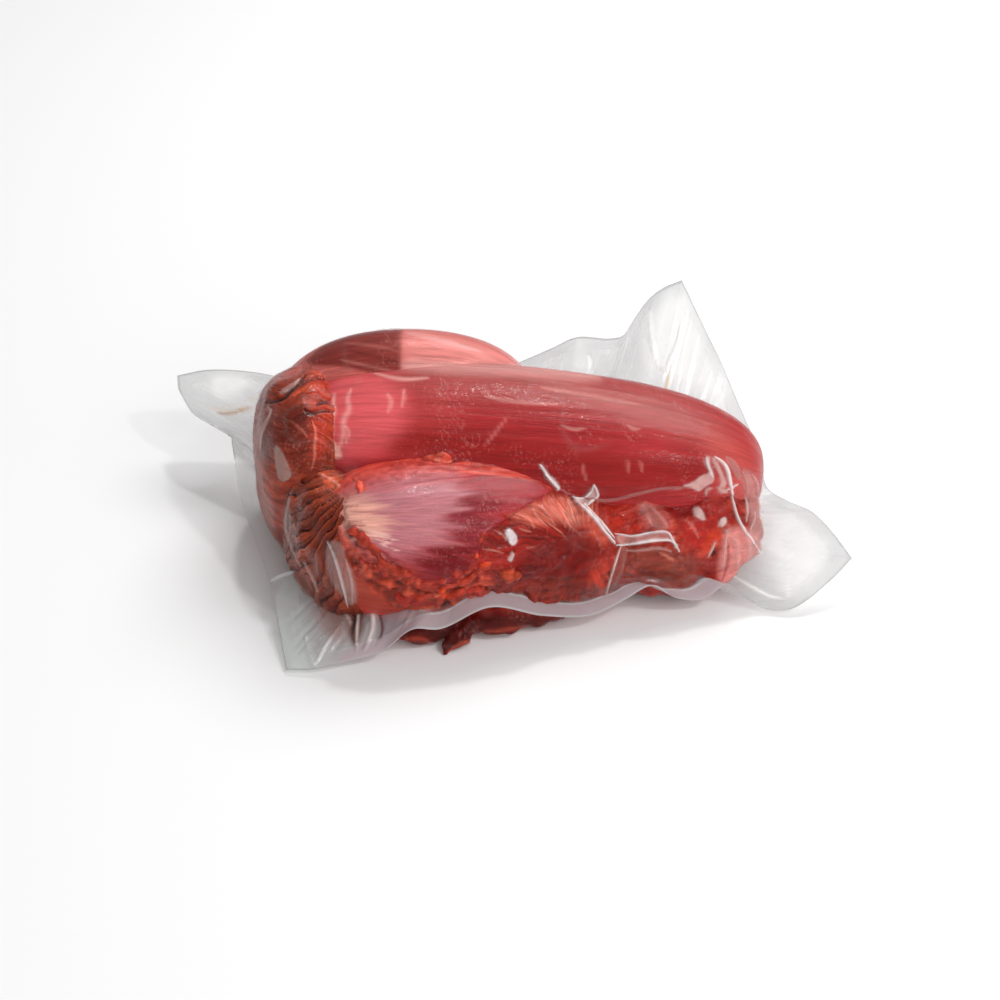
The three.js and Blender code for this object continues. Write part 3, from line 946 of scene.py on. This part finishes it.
def torn_meat(beef):
    """Ragged meat, trimmings and knobs in front, torn along their fibres, in one skin."""
    bm = bmesh.new()
    for seed, form in enumerate(TORN_PARTS.values()):
        part, along, angle = muscle_sphere(form)
        local, out = muscle_skin(form, along, angle)
        relief = 1.6 * lumps(local, 7, seed) + 0.9 * lumps(local, 3.5, seed + 20)
        turn, centre = muscle_place(form)
        move_to(part, (local + out * relief[:, None]) @ turn.T + centre)
        mesh = mesh_from(part, "part")
        bm.from_mesh(mesh)
        bpy.data.meshes.remove(mesh)
    rng = np.random.default_rng(KNOB_SEED)
    for size, places in TORN_ROWS:
        knob_row(bm, size, places, rng)
    bm = apply_remesh(bm, TORN_VOXEL)
    smoothed(bm, 1)
    points = points_of(bm)
    normals = normals_of(bm)
    pixels = in_photo(points)
    fibre, torn = strands(points, pixels)
    crumbs = lumps(points, 2.2, 33)
    flakes = lumps(points * np.array([0.5, 1, 1.6]), 4, 34)
    x, y = pixels.T
    whole = np.maximum(smooth_step(x, 604, 614), smooth_step(y - 0.2 * x, 500, 512))
    fibre = np.where(whole[:, None] < 0.5, fibre, points * np.array([0.2, 1, 1]))
    relief = (0.7 * torn + 0.45 * crumbs + 1.0 * flakes) * (1 - 0.55 * whole)
    points += normals * relief[:, None]
    move_to(bm, points)
    smoothed(bm, 5)
    crest = np.einsum("ij,ij->i", points - points_of(bm), normals)
    # The tone follows the relief: painted shade in the crevices and painted light on the crests, with
    # random tone besides
    tone = 0.3 * torn + 0.2 * crumbs + 0.2 * lumps(points, 12, 35) + 0.6 * crest
    points, colours = dressed(points, normals, 0, tone, TORN_HUES, TORN_MARKS)
    # Painted shade darkens the crevices further and painted light lifts the crests
    colours *= np.clip(1 + 0.8 * crest, 0.3, 1.1)[:, None]
    grain = np.where(whole < 0.5, 0.3 + 0.5 * smooth_step(fibre[:, 0], 0.8, 2.0), 0.45)
    finished_muscle("torn_meat", bm, points, colours, fibre, grain, beef)


# The film on the meat

# Highlights and haze painted on the film, where its flat bits mirror the light
FILM_HIGHLIGHTS = read_marks("""
area c9968e 0.6 1.6 0 280,391 291,384 301,377 296,385 284,394
area c09a90 0.75 1.8 0 274,445 281,450 291,472 291,477 281,483 277,473 275,457
area b8958f 0.55 3 0 325,545 338,541 345,552 342,575 352,600 345,598 330,580
area c9aaa2 0.5 2.5 0 345,560 352,570 358,600 350,606 344,590
area f2e4e6 0.9 1.3 0 505,530 511,528 519,539 513,547 508,541
area ecd4d2 0.8 1.2 0 511,553 515,553 512,562 508,561
area f0c0ba 0.75 1.5 0 705,457 710,456 710,464 714,474 714,482 706,486 699,492 695,489 681,486 692,483
    702,475 710,473 706,466
area f2c6c0 0.6 1.6 0 711,458 716,458 722,471 728,486 717,492 722,480
area cf918c 0.55 1.4 0 724,456 733,459 739,467 742,479 738,480 732,468
area e6bcb4 0.7 1.5 0 717,486 726,489 729,493 720,493
area f4d0c8 0.72 1.5 0 693,507 700,506 706,519 703,521 695,516
area f4d8d2 0.75 1.4 0 719,520 726,516 727,524 720,528
area f0ccc6 0.65 1.5 0 573,498 584,500 591,493 594,485 597,490 598,497 588,505 584,510
area e0a49c 0.55 1.5 0 616,534 633,537 650,533 667,531 672,540 650,541 633,544 617,544
area b5605a 0.4 2 0 604,601 610,583 617,560 621,545 627,552 620,578
area d08a82 0.4 3 0 638,503 650,505 660,515 670,528 655,528 645,515
area e4aca6 0.5 5 0 742,470 752,474 764,505 766,560 752,590 738,592 752,545 750,510
""")
# The crests of its folds, raised; their white is partly the creased film's own and partly painted
# highlight
FOLD_WHITE_AND_HIGHLIGHTS = read_marks("""
line ffffff 0.9 3.6 1.2 540,464 547,475 553,484 558,489
line ffffff 0.9 4 0.8 545,474 552,480 560,489
line ffffff 0.9 3.2 1.1 572,497 578,500 584,499 591,492 594,484
line ffffff 0.85 3 1 594,484 597,491 598,496 592,501 587,506
line ffffff 0.85 2.8 1.1 573,498 582,506 595,519 606,534 616,545
line ffffff 0.8 2.8 0.9 584,504 596,517 606,528 614,538
line f0d4c8 0.8 2.2 0.8 621,544 616,560 609,583 603,602
line ffffff 0.8 2.6 0.9 615,534 633,537 650,533 667,531 672,538 679,551
line ffffff 0.85 3 0.9 616,545 633,544 647,541 667,539 673,541 680,552
line d89a90 0.5 2.6 0.4 622,550 640,551 658,547 674,552
line ffffff 0.85 3.6 1.1 714,457 721,461 727,468 730,482 732,496
line ffffff 0.7 2.8 0.9 731,494 734,507 738,519 742,527 752,540 763,558
line ffffff 0.6 2.6 0.6 726,490 732,487 738,484
line e0b0a8 0.6 3 0.6 706,496 706,489 712,488
line ffffff 0.5 2.6 0.7 706,458 708,468 713,478
line c9827c 0.45 2.4 0.2 560,489 573,496 592,500 613,501 640,493 664,488 692,487
line e8c0ba 0.7 2.6 0.6 745,497 748,508 746,522 / 755,511 754,520 750,530
line f0e0da 0.55 2.6 0.6 757,494 763,510 761,528
line d89a94 0.7 2.8 0.6 742,472 747,482 747,494
line d89a94 0.7 2.8 0.5 752,474 757,484 757,496
line f0e0da 0.6 2.4 0.5 761,486 765,505 765,524
line dc9a94 0.4 3 0.5 730,535 738,548 736,566
line e8c0ba 0.5 2.6 0.5 745,530 758,540 762,552
line e6b4ac 0.5 2.6 0.6 727,531 725,548 723,567
line e8b8a8 0.7 2.4 0.5 716,541 712,549 708,557
line dca89a 0.75 2.6 0.5 268,407 272,411 264,428 261,438 261,451
line ffffff 0.5 2.6 0.6 327,540 336,560 344,590 348,607
line e0c8c0 0.5 2.6 0.6 345,558 352,580 352,602
line d8b0a6 0.5 3 0.5 290,500 284,520 290,545 300,565 / 303,560 312,575 318,592
""")


def bare_meat():
    """All the meat as one bmesh in millimetres."""
    bm = bmesh.new()
    for name in [*MUSCLES, "torn_meat"]:
        bm.from_mesh(bpy.data.objects[name].data)
    for vertex in bm.verts:
        vertex.co /= MM
    return bm


def pushed_out(points, skin):
    """Points moved out to the film's gap from the meat where they lie closer."""
    moved = points.copy()
    for i, point in enumerate(points):
        seat, normal, _, _ = skin.find_nearest(Vector(point))
        height = (Vector(point) - seat).dot(normal)
        if height < FILM_GAP:
            moved[i] = seat + normal * FILM_GAP
    return moved


def milk_and_glare_marks(points, normals, marks, hue):
    """How white the film is, from its own white and from highlights painted on it, and its colour
    there.
    """
    pixels = in_photo(points)
    seen = facing(normals)
    milk_and_glare = np.zeros(len(points))
    colours = np.tile(linear(hue), (len(points), 1))
    for mark in marks:
        share = mark_share(mark, pixels) * seen
        milk_and_glare = np.maximum(milk_and_glare, mark.amount * share)
        colours = blended(colours, mark.hue, share)
    return milk_and_glare, colours


def refined_at_folds(bm, reach):
    """Halves the facets along the folds twice, so that their crests are sharp."""
    for _ in range(2):
        bm.verts.index_update()
        points = points_of(bm)
        pixels = in_photo(points)
        near = np.zeros(len(points), bool)
        for fold in FOLD_WHITE_AND_HIGHLIGHTS + FILM_HIGHLIGHTS:
            near |= mark_share(fold._replace(closed=False, soft=reach), pixels) > 0.01
        near &= facing(normals_of(bm)) > 0
        edges = [edge for edge in bm.edges if all(near[vertex.index] for vertex in edge.verts)]
        bmesh.ops.subdivide_edges(bm, edges=edges, cuts=1, use_grid_fill=True)


def cling_film(film):
    """The film where it lies on the meat: it spans the creases and follows all else, and it has
    gathered into folds where there was too much of it."""
    meat = bare_meat()
    skin = BVHTree.FromBMesh(meat)
    bm = apply_remesh(meat, CLING_VOXEL)
    for times in (6, 3, 1):
        smoothed(bm, times)
        move_to(bm, pushed_out(points_of(bm), skin))
    refined_at_folds(bm, FOLD_REACH)
    points = points_of(bm)
    normals = normals_of(bm)
    # The film's white: the creased film's own, and highlights painted on it
    milk_and_glare, colours = milk_and_glare_marks(points, normals, FILM_HIGHLIGHTS + FOLD_WHITE_AND_HIGHLIGHTS, MILK_AND_GLARE_HUE)
    milk_and_glare *= np.clip(1 + 0.3 * lumps(points, 2.5, 53), 0.5, 1)
    pixels = in_photo(points)
    seen = facing(normals)
    lift = sum(fold.lift * mark_share(fold, pixels) for fold in FOLD_WHITE_AND_HIGHLIGHTS) * seen
    # the sides that the photograph doesn't show have a network of low creases instead
    network = smooth_step(1 - np.abs(lumps(points * np.array([1, 1, 0.6]), 17, 51)), 0.9, 1.0)
    network *= smooth_step(lumps(points, 30, 52), -0.2, 0.5)
    out_of_view = 1 - 0.85 * seen
    lift += 0.7 * network * out_of_view
    milk_and_glare = np.maximum(milk_and_glare, 0.3 * network * out_of_view)
    set_down(bm, points + normals * lift[:, None], 0)
    piece = new_piece("cling_film", bm, film, "pouch")
    add_attribute(piece, "milk_and_glare", "FLOAT", milk_and_glare)
    add_tint(piece, "milk_and_glare_tint", colours)


# The pouch's margin

# The pouch's corners and the lines along its sides, each as points on its cut edge and points on
# its root under the meat's skin
CORNERS = {
    "front_left": ((-119.5, -87, 2), (-84, -60, 18)),
    "front_right": ((133, -101, 19), (82, -68, 17)),
    "back_right": ((112, 70, 67), (66, -16, 44)),
    "back_left": ((-132, 95, 40), (-88, 28, 38)),
}
SIDES = [
    (
        "front_left", "front_right",
        [(-109, -91, 3), (-92, -92.5, 5.5), (-79, -94, 8.5), (-66, -97.5, 20.5), (-54, -97.5, 18),
         (-32, -97.5, 25), (-8, -97.5, 15), (14, -97.5, 10.5), (29, -97.5, 16), (41, -97.5, 21),
         (53, -97.5, 11.5), (66, -97.5, 8), (75.5, -97.5, 14), (81, -100, 11), (92, -105, 2.5),
         (103, -109, 3.5), (122, -105, 12)],
        [(-76, -74, 18), (-64, -83, 24), (-54, -83, 23), (-32, -83, 31), (-8, -83, 21),
         (14, -83, 14.5), (29, -83, 22), (41, -83, 27), (53, -83, 17), (67, -83, 12),
         (80, -78, 14)],
    ),
    (
        "front_right", "back_right",
        [(126, -94, 29.5), (121, -84.5, 34), (117, -62, 26.5), (112, -51, 27), (112, -39, 38),
         (110, -15, 50.5), (110, 10, 58.5), (111, 33, 61)],
        [(90, -58, 24), (88, -46, 32), (82, -34, 40), (76, -24, 44)],
    ),
    (
        "back_right", "back_left",
        [(102.5, 70, 64), (95.5, 70, 59), (88.5, 70, 49), (83, 70, 40.5), (76, 69, 40.5),
         (58, 67, 45.5), (45, 66, 42), (10, 66, 32), (-30, 68, 27), (-62, 74, 32),
         (-87.5, 82, 40), (-103, 88, 42), (-118.5, 93, 42)],
        [(44, -4, 42), (4, 22, 40), (-46, 40, 38)],
    ),
    (
        "back_left", "front_left",
        [(-133, 87, 38), (-131.8, 80, 36), (-129, 71.5, 33), (-119, 67, 26), (-113, 68, 22),
         (-113, 62, 18), (-114, 52, 15.5), (-117, 23, 14), (-116.5, -8, 14), (-116.3, -40, 13)],
        [(-94, 10, 26), (-93, -30, 22)],
    ),
]
# Pleats, bright folds and milky places of the ears
MARGIN_MARKS = read_marks("""
line ffffff 0.95 3.5 0.8 270,583 276,578 294,572 305,568
line ffffff 0.95 3 0.9 306,634 309,650 315,666 / 315,666 327,645 340,627
line f4f4f4 0.7 2.5 0.6 318,640 328,634 340,628
area 8a5a52 0.7 4 0 345,585 363,578 366,600 362,640 352,648 344,620
area c9aaa6 0.45 8 0 312,605 345,600 348,640 330,640 318,625
line fdf6f2 0.9 2.8 1 362,578 358,615 356,652
line faf2f0 0.85 4.5 1 365,590 372,608 374,625 369,640 364,650
line 7c3a3e 0.7 3 -0.5 369,588 383,612 384,628 374,646
area c8c0c6 0.5 4 0 385,600 420,592 412,612 390,640 378,652 380,625
area e4e9e6 0.35 5 0 270,583 303,572 303,625 317,668 285,670
line 7c4a4c 0.6 3 -0.4 378,610 383,625 380,640
line efe2de 0.75 2.4 0.8 360,571 374,590 390,606
line e6cfc8 0.6 3 0.7 339,600 346,615 352,625
line 5c3a34 0.6 4 -0.6 352,590 356,612 352,636
area fdfdfb 0.5 7 0.4 209,378 225,374 250,378 245,390 228,400 212,396
line d9b48c 0.7 3.5 0.3 217,413 230,414 245,410 258,407
line e8d8c4 0.5 2.5 0.3 207,407 220,411 245,405 262,396
line dfe0da 0.5 3 0.4 230,431 233,447 236,462
line d9ddd2 0.5 3 0.4 255,428 256,445 260,465 268,483
line ffffff 0.85 4 0.8 650,310 650,335 655,365 667,372
line ffffff 0.85 3.5 0.8 680,328 678,345 668,362 667,372
line f0d9ae 0.85 3 0.4 672,366 669,378 666,392
line ffffff 0.8 5 0.5 588,355 590,362 589,370
line fffdfa 0.9 2.8 0.8 723,569 744,583 767,597 785,600
line ffffff 0.5 9 0 789,529 790,560 788,596
area f6f6f5 0.4 10 0 770,520 800,516 835,550 800,596 775,590
area f4f4f3 0.4 10 0 640,330 680,285 700,330 735,410 690,385 650,372
line f2ece8 0.7 3 0.6 738,525 750,541 763,557
""")


def curve_points(points, count):
    """That many points at even steps along a smooth curve through the given ones."""
    knots = np.array(points, float)
    padded = np.vstack([2 * knots[0] - knots[1], knots, 2 * knots[-1] - knots[-2]])
    path = []
    for a, b, c, d in zip(padded, padded[1:], padded[2:], padded[3:]):
        gaps = [max(np.linalg.norm(q - p) ** 0.5, 1e-4) for p, q in ((a, b), (b, c), (c, d))]
        t = np.linspace(0, 1, 24, endpoint=False)[:, None]
        leave = (b - a) / gaps[0] - (c - a) / (gaps[0] + gaps[1]) + (c - b) / gaps[1]
        reach = (c - b) / gaps[1] - (d - b) / (gaps[1] + gaps[2]) + (d - c) / gaps[2]
        leave *= gaps[1]
        reach *= gaps[1]
        square = -3 * b + 3 * c - 2 * leave - reach
        cube = 2 * b - 2 * c + leave + reach
        path.append(b + leave * t + square * t**2 + cube * t**3)
    path = np.vstack([*path, knots[-1:]])
    run = run_along(path)
    at = np.linspace(0, run[-1], count, endpoint=False)
    return np.stack([np.interp(at, run, path[:, k]) for k in range(3)], axis=-1)


def film_lines():
    """The film's root under the meat's skin and its cut edge, station by station."""
    roots, edges = [], []
    for start, end, edge, root in SIDES:
        ends = CORNERS[start], CORNERS[end]
        edge = [ends[0][0], *edge, ends[1][0]]
        root = [ends[0][1], *root, ends[1][1]]
        count = round(run_along(np.array(edge, float))[-1] * STATIONS_PER_MM)
        edges.append(curve_points(edge, count))
        roots.append(curve_points(root, count))
    return np.vstack(roots) + SHIFT, np.vstack(edges) + SHIFT


def margin_looks(edge, from_edge, ripple):
    """How white the margin is, and how much of it has the hue of the weld and of the cut edge."""
    front = smooth_step(-edge[:, 1], 78, 84) * (1 - smooth_step(np.abs(edge[:, 0] + 10), 84, 94))
    left = smooth_step(-edge[:, 0], 104, 110) * (1 - smooth_step(np.abs(edge[:, 1] - 5), 52, 64))
    inner = smooth_step(-edge[:, 1], 78, 84) * smooth_step(edge[:, 0], -66, -60)
    inner *= 1 - smooth_step(edge[:, 0], 84, 98)
    weld = smooth_step(WELD_WIDTH - from_edge, -0.6, 0.6)
    rim = np.exp(-((from_edge - 0.4) / 0.5) ** 2) + np.exp(-((from_edge - WELD_WIDTH) / 0.6) ** 2)
    white = (0.06 + 0.55 * front) * weld + 0.36 - 0.3 * inner + (0.12 + 0.5 * front) * rim
    white = (white + ripple) * (1 - 0.85 * left)
    weld_share = front * weld * (1 - np.clip(rim, 0, 1))
    cut_share = 0.7 * (1 - front) * np.exp(-((from_edge - 0.3) / 0.4) ** 2)
    return np.clip(white, 0, 1), weld_share, cut_share


def margin_film(film):
    """The margin and its ears: two films in one sheet, flat and milky along the weld, pleated
    where it leaves the meat."""
    roots, edges = film_lines()
    stations = len(roots)
    share = np.linspace(0, 1, MARGIN_STEPS + 1)
    bm = bmesh.new()
    bmesh.ops.create_grid(bm, x_segments=stations, y_segments=MARGIN_STEPS, size=0.5)
    flat = points_of(bm)
    station = np.round((flat[:, 0] + 0.5) * stations).astype(int) % stations
    out = share[np.round((flat[:, 1] + 0.5) * MARGIN_STEPS).astype(int)]
    root, edge = roots[station], edges[station]
    outwards = edge - root
    onwards = edges[(station + 1) % stations] - edges[station - 1]
    points = root + outwards * out[:, None]
    from_edge = np.linalg.norm(edges - roots, axis=1)[station] * (1 - out)
    normals = np.cross(outwards, onwards)
    normals /= np.linalg.norm(normals, axis=1, keepdims=True)
    run = np.cumsum(np.linalg.norm(edges - np.roll(edges, 1, axis=0), axis=1))[station]
    pleat_place = np.stack([run, from_edge / PLEAT_STRETCH, np.zeros(len(run))], axis=-1)
    off_weld = smooth_step(from_edge, 2, WELD_WIDTH + 5)
    limp = 0.25 + 0.75 * smooth_step(-edge[:, 1], 40, 70) * smooth_step(-edge[:, 0], -60, -20)
    pleats = off_weld * limp * (1.1 * lumps(pleat_place, 7, 41) + 0.6 * lumps(pleat_place, 3, 42))
    pleats += 0.25 * limp * lumps(pleat_place, 12, 43)
    toward = normals * np.where((normals @ BACK) < 0, -1.0, 1.0)[:, None]
    milk_and_glare, colours = milk_and_glare_marks(points, toward, MARGIN_MARKS, MARGIN_HUE)
    pixels = in_photo(points)
    crease = sum(mark.lift * mark_share(mark, pixels) for mark in MARGIN_MARKS)
    points = points + normals * pleats[:, None] + toward * crease[:, None]
    ripple = 0.08 * lumps(pleat_place, 2.5, 44) * off_weld
    white, weld_share, cut_share = margin_looks(edge, from_edge, ripple)
    colours = blended(colours, WELD_HUE, weld_share)
    colours = blended(colours, CUT_EDGE_HUE, cut_share)
    milk_and_glare = np.maximum(milk_and_glare, white)
    set_down(bm, points, FILM_THICKNESS)
    milk_and_glare_layer = bm.verts.layers.float.new("milk_and_glare")
    tint_layer = bm.verts.layers.float_color.new("milk_and_glare_tint")
    for vertex, amount, colour in zip(bm.verts, milk_and_glare, colours):
        vertex[milk_and_glare_layer] = amount
        vertex[tint_layer] = (*colour, 1)
    bmesh.ops.remove_doubles(bm, verts=bm.verts, dist=1e-4)
    bmesh.ops.recalc_face_normals(bm, faces=bm.faces)
    piece = new_piece("margin_film", bm, film, "pouch")
    shell = piece.modifiers.new("film thickness", "SOLIDIFY")
    shell.thickness = FILM_THICKNESS * MM
    shell.offset = 0


# Studio

CLIP_END = 20
FLOOR_SIZE = 8
FLOOR_DROP = 0.0002  # under the pack, so that the two don't flicker
FLOOR_GREY = 0.9
WORLD_WHITE = 0.33


def camera():
    lens = bpy.data.cameras.new("camera")
    lens.lens = LENS
    lens.sensor_width = SENSOR
    lens.clip_end = CLIP_END
    eye = placed("camera", lens)
    turn = Matrix((RIGHT, UP, BACK)).transposed().to_4x4()
    eye.matrix_world = Matrix.Translation(Vector(EYE * MM)) @ turn
    bpy.context.scene.camera = eye


def softbox(name, place, size, power_w, mirrored=True):
    """A round lamp that faces the pack."""
    light = bpy.data.lights.new(name, "AREA")
    light.shape = "DISK"
    light.size = size
    light.energy = power_w
    box = placed(name, light)
    box.location = place
    box.visible_glossy = mirrored
    box.rotation_euler = (-Vector(place)).to_track_quat("-Z", "Y").to_euler()


def studio():
    softbox("key", (0.75, 0.6, 1.2), size=0.85, power_w=10)
    softbox("front fill", (0.5, -1.6, 1.0), size=2.4, power_w=26, mirrored=False)
    softbox("spark", (0.25, 0.5, 1.3), size=0.11, power_w=3.8)
    softbox("front spark", (0.5, -0.9, 1.2), size=0.1, power_w=3.8)
    world = bpy.data.worlds.new("studio")
    bpy.context.scene.world = world
    world.use_nodes = True
    background = world.node_tree.nodes["Background"]
    background.inputs["Color"].default_value = (1, 1, 1, 1)
    background.inputs["Strength"].default_value = WORLD_WHITE
    bm = bmesh.new()
    bmesh.ops.create_grid(bm, x_segments=1, y_segments=1, size=FLOOR_SIZE)
    floor = placed("floor", mesh_from(bm, "floor"))
    floor.location.z = -FLOOR_DROP
    paper, tree = new_material("white paper floor")
    sheet = shader(
        tree, "ShaderNodeBsdfPrincipled", Base_Color=(FLOOR_GREY, FLOOR_GREY, FLOOR_GREY, 1),
        Roughness=0.9, Specular_IOR_Level=0.1,
    )
    add_node(tree, "ShaderNodeOutputMaterial", {"Surface": sheet})
    floor.data.materials.append(paper)
    bpy.context.scene.view_settings.view_transform = "Standard"


camera()
studio()
beef = raw_beef()
whole_muscles(beef)
torn_meat(beef)
cling_film(clear_film("shrunk barrier film", puckering=0.4, see_through=0.25))
margin_film(clear_film("welded barrier film", puckering=0.1, see_through=0.5))
